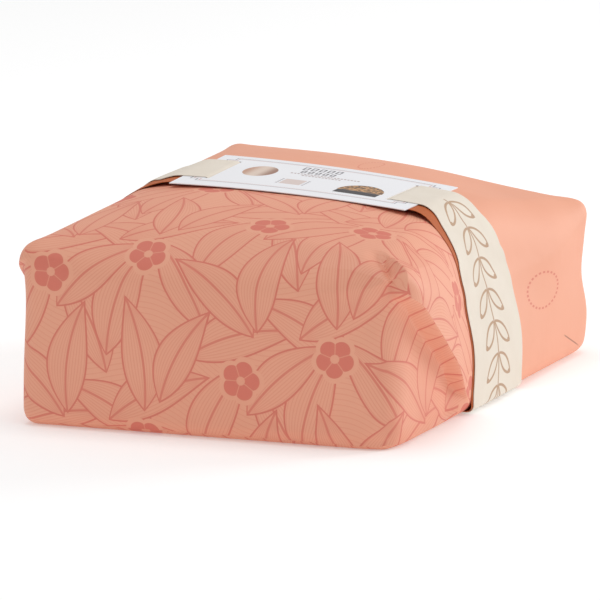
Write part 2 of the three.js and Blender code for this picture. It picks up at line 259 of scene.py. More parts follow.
def rounded_box(u, v, w):
    """The plain box with its edges rounded: x, y, z and the way out of it there."""
    u, v, w = np.broadcast_arrays(u, v, w)
    flat_x = u * HALF_WIDTH
    flat_y = v * HALF_LENGTH
    level = (w + 1) / 2
    flat_z = level * FLAT_HEIGHT
    radius_x, radius_y, drop = edge_sizes(u, v, level)
    in_x = into_edge(flat_x, HALF_WIDTH, radius_x)
    in_y = into_edge(flat_y, HALF_LENGTH, radius_y)
    at_top = level > 0.5
    above = np.maximum(flat_z - (FLAT_HEIGHT - drop), 0) / drop
    below = np.maximum(BASE_RADIUS - flat_z, 0) / BASE_RADIUS
    in_z = np.where(at_top, above, below)
    size = np.sqrt(in_x ** 2 + in_y ** 2 + in_z ** 2)
    size = np.where(size == 0, 1, size)
    x = rounded_off(flat_x, HALF_WIDTH, radius_x, in_x / size)
    y = rounded_off(flat_y, HALF_LENGTH, radius_y, in_y / size)
    top_or_base = np.where(at_top, FLAT_HEIGHT - drop + drop * in_z / size, BASE_RADIUS * (1 - in_z / size))
    z = np.where(in_z > 0, top_or_base, flat_z)
    outwards = np.stack([np.sign(x) * in_x, np.sign(y) * in_y, in_z], -1) / size[..., None]
    return x, y, z, outwards


def swell(share, share_along, level):
    """How far a wall flares and bellies out, by the shares of the way to it and along it."""
    belly = WALL_BULGE * np.sin(math.pi * clamp01(level)) * ease(0.6, 1, np.abs(share))
    return share * FLARE * level + np.sign(share) * belly * (1 - share_along ** 2)


def box_point(u, v, w):
    """The crowned box without its folds at (u, v, w), points on the skin of the cube from
    -1 to 1. Gives x, y, z and the way out of its rounded walls there."""
    x, y, z, outwards = rounded_box(u, v, w)

    # four corner heights, and the crown that the cake pushes up between them
    level = z / FLAT_HEIGHT
    share_x = x / HALF_WIDTH
    share_y = y / HALF_LENGTH
    right = (share_x + 1) / 2
    corners = mix(mix(*FRONT_CORNERS, right), mix(*BACK_CORNERS, right), (share_y + 1) / 2)
    dome = (1 - np.abs(share_x) ** CROWN_POWER) * (1 - np.abs(share_y) ** CROWN_POWER)
    z = level * corners + CROWN * dome * level ** 3
    return x + swell(share_x, share_y, level), y + swell(share_y, share_x, level), z, outwards


def pack_point(u, v, w):
    """The paper's surface at (u, v, w), points on the skin of the cube from -1 to 1."""
    x, y, z, outwards = box_point(u, v, w)
    along_x = np.sign(x) * (fold_rise(x, y, z) - waist(x, y, z))
    point = np.stack([x + along_x, y, z], -1) - tuck(x, y, z)[..., None] * outwards
    moved = point.copy()
    for at, reach, move in PUSHES:
        away = (((point - np.array(at)) / np.array(reach)) ** 2).sum(-1)
        moved = moved + np.exp(-away)[..., None] * np.array(move)
    moved[..., 2] = np.maximum(moved[..., 2], 0)
    return moved


def fold_line(side, ws):
    """The v at which the fold crosses each level of a long wall."""
    near = np.full(len(ws), -1.0)
    far = np.full(len(ws), 0.4)
    for _ in range(30):
        middle = (near + far) / 2
        x, y, z, _ = box_point(side, middle, ws)
        in_front = across_fold(x, y, z)[0] < 0
        near = np.where(in_front, middle, near)
        far = np.where(in_front, far, middle)
    return (near + far) / 2


# ---------- meshes

def add_to_scene(name, data):
    made = bpy.data.objects.new(name, data)
    bpy.context.scene.collection.objects.link(made)
    return made


def make_object(name, points, faces, layer, places, material, replaced):
    """A mesh object in metres from millimetre points. places are the UV layer's values,
    one for each point or one for each face corner."""
    mesh = bpy.data.meshes.new(name)
    mesh.from_pydata((points.reshape(-1, 3) * MM).tolist(), [], [list(f) for f in faces])
    mesh.update()
    corner_vertex = np.empty(len(mesh.loops), np.int32)
    mesh.loops.foreach_get("vertex_index", corner_vertex)
    if len(places) != len(corner_vertex):
        places = places[corner_vertex]
    uv_layer = mesh.uv_layers.new(name=layer)
    uv_layer.uv.foreach_set("vector", places.astype(np.float32).ravel())
    mesh.shade_smooth()
    mesh.set_sharp_from_angle(angle=math.radians(SHARP_ANGLE))
    mesh.materials.append(material)
    piece = add_to_scene(name, mesh)
    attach(piece, "root")
    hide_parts(replaced)
    return piece


class Skin:
    """The pack's skin as a cube of grid points whose columns follow the fold."""

    def __init__(self):
        steps = SKIN_STEPS
        us = towards_ends(steps["u"])
        ws = towards_ends(steps["w"], 1.3)
        self.fold_at = steps["before_fold"]
        shape = (len(us), steps["before_fold"] + steps["behind_fold"] + 1, len(ws))
        index = np.indices(shape)
        last = np.array(shape)[:, None, None, None] - 1
        on_skin = ((index == 0) | (index == last)).any(0)
        self.number = np.full(shape, -1)
        self.number[on_skin] = np.arange(on_skin.sum())
        i, j, k = index[:, on_skin]
        self.u = us[i]
        self.w = ws[k]
        fold = mix(fold_line(-1, ws)[k], fold_line(1, ws)[k], (self.u + 1) / 2)
        before = towards_ends(steps["before_fold"], 1.35, 0, 1)
        behind = towards_ends(steps["behind_fold"], 1.35, 0, 1)
        self.v = np.where(
            j <= self.fold_at,
            mix(-1.0, fold, before[np.minimum(j, self.fold_at)]),
            mix(fold, 1.0, behind[np.maximum(j - self.fold_at, 0)]),
        )
        self.points = pack_point(self.u, self.v, self.w)

    def faces(self):
        """Quads as (region, corner numbers), with outward normals."""
        n = self.number
        found = []
        for region, grid, flip in (
            ("top", n[:, :, -1], False), ("base", n[:, :, 0], True), ("front", n[:, 0], False),
            ("back", n[:, -1], True), ("right", n[-1], False), ("left", n[0], True),
        ):
            p, q, r, s = grid[:-1, :-1], grid[1:, :-1], grid[1:, 1:], grid[:-1, 1:]
            found.append((region, np.stack([p, s, r, q] if flip else [p, q, r, s], -1)))
        return found


def path_lengths(points, axis):
    """Lengths along an axis of a grid of points, from its start."""
    steps = np.linalg.norm(np.diff(points, axis=axis), axis=-1)
    start = np.zeros_like(np.take(steps, [0], axis=axis))
    return np.concatenate([start, np.cumsum(steps, axis=axis)], axis=axis)


def between(lines, at):
    """The number of the line before each place, and its share of the way to the next."""
    i = np.clip(np.searchsorted(lines, at) - 1, 0, len(lines) - 2)
    return i, clamp01((at - lines[i]) / (lines[i + 1] - lines[i]))


def bilinear(table, rows, columns, at_row, at_column):
    """Values of a table at points between its rows and columns."""
    i, s = between(rows, at_row)
    j, t = between(columns, at_column)
    low = mix(table[i, j], table[i + 1, j], s)
    high = mix(table[i, j + 1], table[i + 1, j + 1], s)
    return mix(low, high, t)


class PrintMap:
    """Where each point of the skin lies on the flat printed sheet, in millimetres. The
    sheet climbs the front wall and runs back over the top. It goes round both front
    corners below the folds, and comes down both shoulders behind them."""

    WALL_STRETCH = 1.3

    def __init__(self):
        self.us = np.linspace(-1, 1, 81)
        self.vs = np.linspace(-1, 1, 161)
        self.ws = np.linspace(-1, 1, 81)
        u, w = np.meshgrid(self.us, self.ws, indexing="ij")
        front = pack_point(u, -1, w)
        up_front = path_lengths(front, 1)
        self.front = [self.off_middle(front), up_front]
        u, v = np.meshgrid(self.us, self.vs, indexing="ij")
        top = pack_point(u, v, 1)
        self.top = [self.off_middle(top), path_lengths(top, 1) + up_front[:, -1:]]
        v, w = np.meshgrid(self.vs, self.ws, indexing="ij")
        self.walls = {side: pack_point(side, v, w) for side in (-1, 1)}

    def off_middle(self, points):
        """Lengths across a face from its middle line, below 0 to the left of it."""
        across = path_lengths(points, 0)
        return across - across[len(self.us) // 2]

    def on_front(self, u, w):
        return [bilinear(table, self.us, self.ws, u, w) for table in self.front]

    def on_top(self, u, v):
        return [bilinear(table, self.us, self.vs, u, v) for table in self.top]

    def round_corner(self, side, v, w):
        """Places on a long wall in front of its fold."""
        p, q = self.on_front(np.full_like(v, side), w)
        table = path_lengths(self.walls[side], 0) / self.WALL_STRETCH
        return p + side * bilinear(table, self.vs, self.ws, v, w), q

    def down_shoulder(self, side, v, w):
        """Places on a long wall behind its fold."""
        p, q = self.on_top(np.full_like(v, side), v)
        up = path_lengths(self.walls[side], 1)
        return p + side * bilinear(up[:, -1:] - up, self.vs, self.ws, v, w), q

    def at(self, region, u, v, w, in_front):
        """Places on the sheet. in_front says which columns lie in front of the fold."""
        if region in ("right", "left"):
            side = 1 if region == "right" else -1
            before = self.round_corner(side, v, w)
            places = np.where(in_front, before, self.down_shoulder(side, v, w))
        elif region == "front":
            places = self.on_front(u, w)
        else:
            places = self.on_top(u, v)
        return np.stack(places, -1)


def make_pack(material):
    skin = Skin()
    print_map = PrintMap()
    faces = []
    places = []
    for region, quads in skin.faces():
        u, v, w = (values[quads] for values in (skin.u, skin.v, skin.w))
        in_front = (np.arange(len(quads)) < skin.fold_at)[:, None, None]
        faces.append(quads.reshape(-1, 4))
        places.append(print_map.at(region, u, v, w, in_front).reshape(-1, 2))
    pack = make_object("pack_wrap", skin.points, np.concatenate(faces), "print",
                       np.concatenate(places), material, "wrapped_pack")
    mark_folds(pack.data, skin)


def mark_folds(mesh, skin):
    """Makes the shading break along both diagonal folds."""
    on_fold = set(skin.number[[0, -1], skin.fold_at].ravel().tolist())
    for edge in mesh.edges:
        if on_fold.issuperset(edge.vertices):
            edge.use_edge_sharp = True


# ---------- straps

def top_climb(u):
    """How the pack's top climbs with y, over the length of the card's short side."""
    v = CARD["half_y"] / HALF_LENGTH
    rise = pack_point(u, v, 1)[..., 2] - pack_point(u, -v, 1)[..., 2]
    return rise / (2 * CARD["half_y"])


def strap_loop(y, top_xs):
    """Points (x, z) of the loop that a strap follows at each y, clockwise from the
    top's left end. y has one value for each loop."""
    y = np.asarray(y, float)[:, None]
    foot_level = (STRAP_BASE + BASE_RADIUS) / FLAT_HEIGHT * 2 - 1
    levels = towards_ends(STRAP_STEPS["wall"], 1.3, 1.0, foot_level)[1:]
    angles = np.linspace(0, math.pi / 2, STRAP_STEPS["turn"] + 1)[1:]
    shares = np.linspace(0, 1, STRAP_STEPS["base"] + 1)[1:-1, None]

    def on_pack(u, w):
        """On the pack's skin, and under the card on a flat board that climbs with y."""
        point = pack_point(u, y / HALF_LENGTH, w)
        middle = pack_point(u, 0, w)
        free = ease(*FREE_FALL, np.abs(middle[..., 0]))
        flat = np.where(w < 1, point[..., 2], middle[..., 2] + top_climb(u) * y)
        return np.stack([mix(point[..., 0], middle[..., 0], free), mix(point[..., 2], flat, free)], -1)

    def down(side):
        """Down one wall and round into the channel under the base."""
        wall = on_pack(np.full_like(levels, side), levels)
        x = side * (np.abs(wall[:, -1:, 0]) - STRAP_CORNER * (1 - np.cos(angles)))
        z = np.broadcast_to(STRAP_BASE + STRAP_CORNER * (1 - np.sin(angles)), x.shape)
        return np.concatenate([wall, np.stack([x, z], -1)], 1)

    right = down(1)
    left = down(-1)
    top = on_pack(top_xs / HALF_WIDTH, np.ones_like(top_xs))
    base = mix(right[:, -1:], left[:, -1:], shares)
    return np.concatenate([top, right, base, left[:, ::-1]], 1)


def loop_normals(loop):
    """Outward normals in the XZ plane of closed clockwise loops."""
    run = np.roll(loop, -1, axis=1) - np.roll(loop, 1, axis=1)
    run /= np.linalg.norm(run, axis=-1, keepdims=True)
    return np.stack([-run[..., 1], run[..., 0]], -1)


# The faces of one cell of a sheet: the neighbour (row, column) that hides the face, and its
# corners (side, row, column), all counted from the cell
CELL_FACES = [
    (None, [(1, 0, 0), (1, 0, 1), (1, 1, 1), (1, 1, 0)]),
    (None, [(0, 1, 0), (0, 1, 1), (0, 0, 1), (0, 0, 0)]),
    ((-1, 0), [(0, 0, 0), (0, 0, 1), (1, 0, 1), (1, 0, 0)]),
    ((1, 0), [(1, 1, 0), (1, 1, 1), (0, 1, 1), (0, 1, 0)]),
    ((0, -1), [(0, 0, 0), (1, 0, 0), (1, 1, 0), (0, 1, 0)]),
    ((0, 1), [(1, 0, 1), (0, 0, 1), (0, 1, 1), (1, 1, 1)]),
]


def sheet_faces(solid, loop):
    """Quads of a sheet with an under and an upper side. solid[row, column] says which
    cells are there. Vertex numbers run over [side, row, column]."""
    rows, cells = solid.shape
    columns = cells if loop else cells + 1

    def number(side, j, i):
        return (side * (rows + 1) + j) * columns + i % columns

    def is_solid(j, i):
        inside = 0 <= j < rows and (loop or 0 <= i < cells)
        return inside and solid[j, i % cells]

    faces = []
    for j, i in np.argwhere(solid).tolist():
        for neighbour, corners in CELL_FACES:
            if neighbour is None or not is_solid(j + neighbour[0], i + neighbour[1]):
                faces.append([number(side, j + up, i + far) for side, up, far in corners])
    return faces


def strap_points(strap, span_at, lift_at, top_xs):
    """Points [side, row, column] of a strap, in rows from its front edge to its back one."""
    centre = strap_loop([0.0], top_xs)[0]
    low, high = span_at(*centre.T)
    own = np.arange(len(centre))
    points = np.zeros((2, strap["rows"], len(centre), 3))
    for j, share in enumerate(np.linspace(0, 1, strap["rows"])):
        y = mix(low, high, share)
        # each column has its own y, so the loop is worked out for all and one is taken
        loops = strap_loop(y, top_xs)
        at = loops[own, own]
        normal = loop_normals(loops)[own, own]
        lift = lift_at(at[:, 0], y, at[:, 1])
        for side in (0, 1):
            moved = at + (lift + side * strap["thick"])[:, None] * normal
            points[side, j] = np.stack([moved[:, 0], y, moved[:, 1]], -1)
    return points


def beyond_slits(x):
    """How far a point lies outside the two slits, below 0 between them."""
    return np.maximum(SLIT["left"] - x, x - SLIT["right"])


def past_slit(x):
    """0 between the two slits, 1 outside them."""
    return clamp01((beyond_slits(x) + SLIT["half_wide"]) / (2 * SLIT["half_wide"]))


def slit_edges(*places):
    """The x of lines at places from -1 to 1 across each slit."""
    return [SLIT[side] + place * SLIT["half_wide"] for side in ("left", "right") for place in places]


def board_height(x, y):
    """The height of the stiff card's underside."""
    bow = BOARD["z"] + BOARD["slope"] * x + BOARD["bow"] * x ** 2
    return bow + y * (BOARD["climb"] + BOARD["twist"] * x)


def settle(strap, x, z, raised):
    """A strap's lift: raised at the card, and at rest beyond its ends and on the walls."""
    start, end = CARD["let_down"]
    off_card = ease(CARD["half_x"] + start, CARD["half_x"] + end, np.abs(x - CARD["x"]))
    return np.where(z < WALL_TOP, strap["lift"], mix(raised, strap["lift"], off_card))


def ribbon_lift(x, y, z):
    """How far the ribbon lies off the pack: on it between the slits, up through the slits
    and over the ends of the card, and down to the pack again."""
    over_card = board_height(x, y) + CARD["thick"] + CARD["gap"] - z
    under_card = board_height(x, y) - CARD["gap"] - RIBBON["thick"] - z
    to_slit = ease(*RIBBON["rise"], beyond_slits(x))
    under = np.minimum(mix(RIBBON["lift"], under_card, to_slit), under_card)
    return settle(RIBBON, x, z, mix(under, over_card, past_slit(x)))


def band_lift(x, y, z):
    """How far the band lies off the pack: on it, and close under the ends of the card."""
    under_card = board_height(x, y) - CARD["gap"] - BAND["thick"] - z
    to_end = ease(*BAND["rise"], beyond_slits(x))
    return settle(BAND, x, z, mix(BAND["lift"], under_card, to_end))


def ribbon_span(x, z):
    """The y of the ribbon's two edges, drawn together where it passes the slits and drawn
    back where it goes over the left shoulder."""
    off_top = 1 - ease(*RIBBON["turn_at"], z)
    below_top = 1 - ease(*RIBBON["widen_at_z"], z)
    wide = np.where(x > 0, np.maximum(ease(*RIBBON["widen_at_x"], x), off_top), below_top)
    half = mix(RIBBON["half_at_slit"], RIBBON["half_at_wall"], wide)
    middle = mix(SLIT["y"], 0.0, wide)
    drawn_back = ease(*RIBBON["turn_at"], -x) * (1 - below_top)
    return mix(middle - half, RIBBON["left_front"], drawn_back), middle + half


def band_span(x, z):
    """The y of the band's two straight edges."""
    return np.full_like(x, BAND["front"]), np.full_like(x, BAND["back"])


def make_strap(name, points, material, replaced):
    """A strap's object. Its UV layer holds the millimetres along it and across."""
    across = points[..., 1]
    along = np.broadcast_to(path_lengths(points[1, points.shape[1] // 2], 0), across.shape)
    places = np.stack([along, across], -1).reshape(-1, 2)
    faces = sheet_faces(np.ones((points.shape[1] - 1, points.shape[2]), bool), loop=True)
    make_object(name, points, faces, "strap", places, material, replaced)


def make_ribbon(material):
    top_xs = grid_lines(0, HALF_WIDTH, RIBBON["top_steps"], slit_edges(-1, 0, 1))
    points = strap_points(RIBBON, ribbon_span, ribbon_lift, top_xs)
    make_strap("ribbon_cloth", points, material, "ribbon")


def make_band(material):
    top_xs = np.linspace(-HALF_WIDTH, HALF_WIDTH, BAND["top_steps"] + 1)
    points = strap_points(BAND, band_span, band_lift, top_xs)
    make_strap("russet_band", points, material, "paper_band")


# ---------- the label card

def make_card(material):
    xs = grid_lines(CARD["x"], CARD["half_x"], CARD["steps_x"], slit_edges(-1, 1))
    slit_ends = (SLIT["y"] - SLIT["half_long"], SLIT["y"] + SLIT["half_long"])
    ys = grid_lines(CARD["y"], CARD["half_y"], CARD["steps_y"], slit_ends)
    x, y = np.meshgrid(xs, ys)
    z = board_height(x, y)
    points = np.stack([np.stack([x, y, z + side * CARD["thick"]], -1) for side in (0, 1)])
    mid_x = (xs[:-1] + xs[1:]) / 2
    mid_y = (ys[:-1] + ys[1:]) / 2
    beside = np.abs(beyond_slits(mid_x)) < SLIT["half_wide"]
    within = np.abs(mid_y - SLIT["y"]) < SLIT["half_long"]
    faces = sheet_faces(~(within[:, None] & beside[None, :]), loop=False)
    places = (points[..., :2] - (CARD["x"], CARD["y"])).reshape(-1, 2)
    make_object("label_board", points, faces, "card", places, material, "label_card")


# ---------- sums made of nodes

def srgb(*channels):
    """Linear colour from 8-bit sRGB."""
    shares = [c / 255 for c in channels]
    linear = [s / 12.92 if s <= 0.04045 else ((s + 0.055) / 1.055) ** 2.4 for s in shares]
    return (*linear, 1.0)


class Value:
    """A number or a colour that a node gives, for sums in Python's own signs."""

    def __init__(self, socket):
        self.socket = socket
        self.tree = socket.id_data

    def __add__(self, other):
        return maths("ADD", self, other)

    def __sub__(self, other):
        return maths("SUBTRACT", self, other)

    def __rsub__(self, other):
        return maths("SUBTRACT", other, self)

    def __mul__(self, other):
        return maths("MULTIPLY", self, other)

    def __truediv__(self, other):
        return maths("DIVIDE", self, other)

    def __pow__(self, other):
        return maths("POWER", self, other)

    def __abs__(self):
        return maths("ABSOLUTE", self)


def new_node(tree, kind, **settings):
    made = tree.nodes.new(kind)
    for name, value in settings.items():
        setattr(made, name, value)
    return made


def put(socket, value):
    """Gives a socket a Value, another socket's output or a constant."""
    if isinstance(value, Value):
        value = value.socket
    if isinstance(value, bpy.types.NodeSocket):
        socket.id_data.links.new(value, socket)
    else:
        socket.default_value = value


def maths(operation, *values):
    tree = next(value.tree for value in values if isinstance(value, Value))
    made = new_node(tree, "ShaderNodeMath", operation=operation)
    for socket, value in zip(made.inputs, values):
        put(socket, value)
    return Value(made.outputs[0])


def most(first, *others):
    for other in others:
        first = maths("MAXIMUM", first, other)
    return first


def length(a, b):
    return maths("SQRT", a * a + b * b)


def turned(dx, dy, cosine, sine):
    """(dx, dy) along and across an axis at an angle."""
    return dx * cosine + dy * sine, dy * cosine - dx * sine


def off_round(a):
    """How far a lies from the nearest whole number."""
    return abs(a - maths("ROUND", a))


def cell(a, pitch):
    """a taken back to the middle cell of a row of cells."""
    return a - maths("ROUND", a / pitch) * pitch


def step(value, start, end):
    """0 up to start and 1 from end on, for start above end too."""
    made = new_node(value.tree, "ShaderNodeMapRange", interpolation_type="SMOOTHSTEP")
    put(made.inputs["Value"], value)
    put(made.inputs["From Min"], start)
    put(made.inputs["From Max"], end)
    return Value(made.outputs["Result"])


def tint(a, b, share):
    """The colour that share of the way from colour a to colour b."""
    made = new_node(share.tree, "ShaderNodeMix", data_type="RGBA")
    put(made.inputs[0], share)
    put(made.inputs[6], a)
    put(made.inputs[7], b)
    return Value(made.outputs[2])


def split(vector):
    made = new_node(vector.id_data, "ShaderNodeSeparateXYZ")
    put(made.inputs[0], vector)
    return [Value(output) for output in made.outputs]


def sheet_place(tree, layer):
    """The place on a flat sheet, in millimetres."""
    return split(new_node(tree, "ShaderNodeUVMap", uv_map=layer).outputs[0])[:2]


def own_place(tree):
    """The object's own coordinates in millimetres, by the axis's letter."""
    scaled = new_node(tree, "ShaderNodeVectorMath", operation="SCALE")
    put(scaled.inputs[0], new_node(tree, "ShaderNodeTexCoord").outputs["Object"])
    scaled.inputs["Scale"].default_value = 1 / MM
    return dict(zip("XYZ", split(scaled.outputs[0])))


def noise(tree, grains, detail=2.0, stretch=(1, 1, 1)):
    """Noise with so many grains to the millimetre, from 0 to 1."""
    mapping = new_node(tree, "ShaderNodeMapping")
    put(mapping.inputs["Vector"], new_node(tree, "ShaderNodeTexCoord").outputs["Object"])
    mapping.inputs["Scale"].default_value = [s * grains / MM for s in stretch]
    made = new_node(tree, "ShaderNodeTexNoise")
    made.inputs["Scale"].default_value = 1.0
    made.inputs["Detail"].default_value = detail
    put(made.inputs["Vector"], mapping.outputs[0])
    return Value(made.outputs[0])


def bump(height, depth_mm, strength=1.0):
    made = new_node(height.tree, "ShaderNodeBump")
    made.inputs["Strength"].default_value = strength
    made.inputs["Distance"].default_value = depth_mm * MM
    put(made.inputs["Height"], height)
    return made.outputs[0]


def inside_box(x, y, middle, half, soft=0.15):
    """1 inside a rectangle, 0 outside it."""
    off_x = abs(x - middle[0]) - half[0]
    off_y = abs(y - middle[1]) - half[1]
    return step(most(off_x, off_y), soft, -soft)


def inside_oval(x, y, middle, half, soft=0.15):
    """1 inside an oval, 0 outside it."""
    share_x = (x - middle[0]) / half[0]
    share_y = (y - middle[1]) / half[1]
    edge = soft / min(half)
    return step(length(share_x, share_y), 1 + edge, 1 - edge)


def new_material(name, constants):
    """A material with constants on its shader, its tree and the shader's inputs."""
    material = bpy.data.materials.new(name)
    material.use_nodes = True
    shader = material.node_tree.nodes["Principled BSDF"].inputs
    for label, value in constants.items():
        shader[label].default_value = value
    return material, material.node_tree, shader


# ---------- the wrapping paper

# The crease colour is painted shade for the short pressed crease, which has no groove of its own.
PAPER = {"light": srgb(241, 173, 144), "deep": srgb(236, 166, 137), "ink": srgb(220, 122, 104),
         "crease_shade": srgb(150, 96, 80)}

# The printed sheet: line-filled leaves and five-petalled blossoms in half-drop tiles
TILE = {"width": 124.0, "height": 116.0}
LEAVES = [
    # middle x, y, angle in degrees, half length, half width, bend
    (12, 14, 62, 40, 14.5, 6), (43, 10, 118, 38, 14.0, -6), (74, 24, 70, 39, 14.5, 6),
    (105, 36, 125, 36, 13.5, -5), (26, 58, 15, 39, 14.5, 7), (62, 67, 150, 37, 14.5, -6),
    (95, 79, 25, 37, 14.0, 6), (5, 86, 140, 36, 13.5, -6), (41, 101, 80, 36, 13.5, 6),
    (79, 106, 100, 36, 13.5, -5), (112, 106, 60, 34, 12.5, 5), (55, 38, 40, 36, 13.5, 5),
]
LEAF_LINES = 7
LEAF_TAPER = 0.3
BLOSSOMS = [(24, 36, 12.2, 0), (84, 53, 11.8, 20)]
PETALS = 5
PETAL_DEPTH = 0.26
WAVE = {"pitch": 3.4, "sway": 10.0, "climb": 0.25}
PRINT_END = -18.0

# Where each stroke has faded out and where it is full, from its own middle or from the
# leaf's edge, and how much ink each kind carries
STROKE = {"fine": (0.45, 0.15), "vein": (1.0, 0.5), "outline": (1.45, 0.9), "groove": (1.0, 0.6)}
# The crease entry is not ink: it is how dark the painted crease shade is.
INK = {"wave": 0.27, "fine": 0.32, "vein": 0.85, "petal": 0.97, "groove": 0.55, "eye": 0.1,
       "ring": 0.85, "crease_shade": 0.75}


def new_group(name, labels):
    """A node group that gives Ink: its tree, its inputs as Values, and its output."""
    tree = bpy.data.node_groups.new(name, "ShaderNodeTree")
    for label in labels:
        tree.interface.new_socket(name=label, in_out="INPUT", socket_type="NodeSocketFloat")
    tree.interface.new_socket(name="Ink", in_out="OUTPUT", socket_type="NodeSocketFloat")
    given = tree.nodes.new("NodeGroupInput").outputs
    out = tree.nodes.new("NodeGroupOutput").inputs["Ink"]
    return tree, [Value(given[label]) for label in labels], out


def nearest_copy(dx, dy):
    """The way from a motif's nearest copy, given the way from its first one."""
    column = maths("ROUND", dx / TILE["width"])
    dx = dx - column * TILE["width"]
    dy = dy - column * (TILE["height"] / 2)
    return dx, cell(dy, TILE["height"])


def leaf_group():
    names = "under x y middle_x middle_y cosine sine half_length half_width bend"
    tree, given, out = new_group("leaf", names.split())
    under, x, y, middle_x, middle_y, cosine, sine, half_length, half_width, bend = given
    dx, dy = nearest_copy(x - middle_x, y - middle_y)
    along, aside = turned(dx, dy, cosine, sine)
    along = along / half_length
    lens = 1.0 - along * along
    aside = aside - lens * bend
    width = most(lens * (1.0 - along * LEAF_TAPER) * half_width, 0.01)
    share = aside / width
    within = step(abs(share), 1.0, 0.999)
    # fine lines that run together at the tips, a vein and an outline
    pitch = width / LEAF_LINES
    off_line = off_round(share * LEAF_LINES) * pitch
    fine = step(off_line, *STROKE["fine"]) * step(pitch, 0.3, 0.8)
    vein = step(abs(aside), *STROKE["vein"])
    outline = step((1.0 - abs(share)) * width, *STROKE["outline"])
    own = most(fine * INK["fine"], vein * INK["vein"], outline)
    put(out, mix(under, own, within))
    return tree


def blossom_group():
    tree, given, out = new_group("blossom", "under x y middle_x middle_y radius turn".split())
    under, x, y, middle_x, middle_y, radius, turn = given
    dx, dy = nearest_copy(x - middle_x, y - middle_y)
    away = length(dx, dy)
    angle = maths("ARCTAN2", dy, dx) + turn
    petal = abs(maths("COSINE", angle * (PETALS / 2)))
    reach = (petal ** 0.7 * PETAL_DEPTH + (1 - PETAL_DEPTH)) * radius
    clear = step(away - reach, 3.3, 2.9)
    body = step(away - reach, 0.2, -0.2)
    groove = step(petal * away, *STROKE["groove"])
    eye = step(away, 3.0, 2.5)
    own = body * (INK["petal"] - groove * INK["groove"])
    own = mix(own, INK["eye"], eye)
    put(out, mix(under, own, clear))
    return tree


def place_motif(group, under, *values):
    made = new_node(under.tree, "ShaderNodeGroup", node_tree=group)
    for socket, value in zip(made.inputs, (under, *values)):
        put(socket, value)
    return Value(made.outputs["Ink"])


def printed_ink(x, y):
    """How much ink the printed sheet carries, from 0 to 1."""
    # long waves of fine lines fill what the leaves leave free
    sway = maths("SINE", x * (2 * math.pi / TILE["width"])) * WAVE["sway"]
    wave = y + sway + x * WAVE["climb"]
    off_line = off_round(wave / WAVE["pitch"]) * WAVE["pitch"]
    ink = step(off_line, *STROKE["fine"]) * INK["wave"]
    leaf = leaf_group()
    for middle_x, middle_y, angle, *sizes in LEAVES:
        turn = math.radians(angle)
        ink = place_motif(leaf, ink, x, y, middle_x, middle_y, math.cos(turn), math.sin(turn), *sizes)
    blossom = blossom_group()
    for middle_x, middle_y, radius, turn in BLOSSOMS:
        ink = place_motif(blossom, ink, x, y, middle_x, middle_y, radius, math.radians(turn))
    return ink


# The small dashed rings on the plain paper, as oval on each face as the photo shows
RINGS = [
    # the two axes, the middle on them, the half sizes, and the axis and how far out along it
    ("Y", "Z", (87.5, 54.3), (24.0, 11.4), "X", 100),
    ("X", "Y", (12.5, 75.0), (5.8, 19.0), "Z", 115),
    ("X", "Z", (0.0, 56.0), (13.0, 13.0), "Y", 160),
]
DASHES = {"count": 26, "middle": 0.955, "band": (0.07, 0.04), "ends": (-0.45, 0.1)}


def ring_ink(place):
    """The dashed rings' ink, from 0 to 1, on both sides of the pack."""
    ink = 0.0
    for first, second, middle, half, third, beyond in RINGS:
        share_a = (place[first] - middle[0]) / half[0]
        share_b = (place[second] - middle[1]) / half[1]
        band = step(abs(length(share_a, share_b) - DASHES["middle"]), *DASHES["band"])
        angle = maths("ARCTAN2", share_b, share_a)
        dash = step(maths("COSINE", angle * DASHES["count"]), *DASHES["ends"])
        on_side = maths("GREATER_THAN", abs(place[third]), beyond)
        ink = most(ink, band * dash * on_side)
    return ink


# Where the painted shade of a short pressed crease lies on the plain long wall
CREASE = {"y": 122.8, "z": 19.9, "run": (34.8, -14.2), "beyond_x": 100.0, "stroke": (0.7, 0.2)}


def painted_crease_shade(place):
    """Painted shade along a short pressed crease near the foot of the plain long wall, from 0 to 1."""
    run_y, run_z = CREASE["run"]
    long = math.hypot(run_y, run_z)
    off_y = place["Y"] - CREASE["y"]
    off_z = place["Z"] - CREASE["z"]
    along, across = turned(off_y, off_z, run_y / long, run_z / long)
    near = step(abs(across), *CREASE["stroke"])
    within = step(along, 0, 6) * step(along, long, long - 12)
    return near * within * maths("GREATER_THAN", place["X"], CREASE["beyond_x"])


def wrap_material():
    material, tree, shader = new_material("wrap_paper", {"Roughness": 0.58, "Specular IOR Level": 0.35})
    place = own_place(tree)
    printed = step(place["Y"], PRINT_END, PRINT_END - 0.3)
    ink = printed_ink(*sheet_place(tree, "print")) * printed
    ring = ring_ink(place) * ((1.0 - printed) * INK["ring"])
    ground = tint(PAPER["light"], PAPER["deep"], noise(tree, 0.02))
    colour = tint(ground, PAPER["ink"], most(ink, ring))
    # painted shade along the short pressed crease
    colour = tint(colour, PAPER["crease_shade"], painted_crease_shade(place) * INK["crease_shade"])
    put(shader["Base Color"], colour)
    fibre = noise(tree, 1.4)
    dips = noise(tree, 0.035)
    put(shader["Normal"], bump(fibre * 0.02 + dips, 1.6, 0.5))
    return material


# ---------- band and ribbon

RUSSET = {"light": srgb(193, 100, 53), "deep": srgb(168, 80, 40), "fibre": srgb(208, 121, 68)}
CLOTH = {"light": srgb(240, 231, 218), "deep": srgb(228, 216, 200), "ink": srgb(186, 150, 120),
         "thread": 1.1}

# The ribbon's ornament: pairs of leaf outlines along a stem, with a berry between pairs
LAUREL = {"pitch": 20.0, "from": 210.0, "to": 630.0, "half_length": 12.5, "half_width": 4.3,
          "angle": 52.0, "middle": (1.9, 10.8), "stroke": (1.1, 0.75), "stem": (0.95, 0.65),
          "berry": (8.8, 18.4), "berry_edge": (2.1, 1.7), "ink": 0.92}


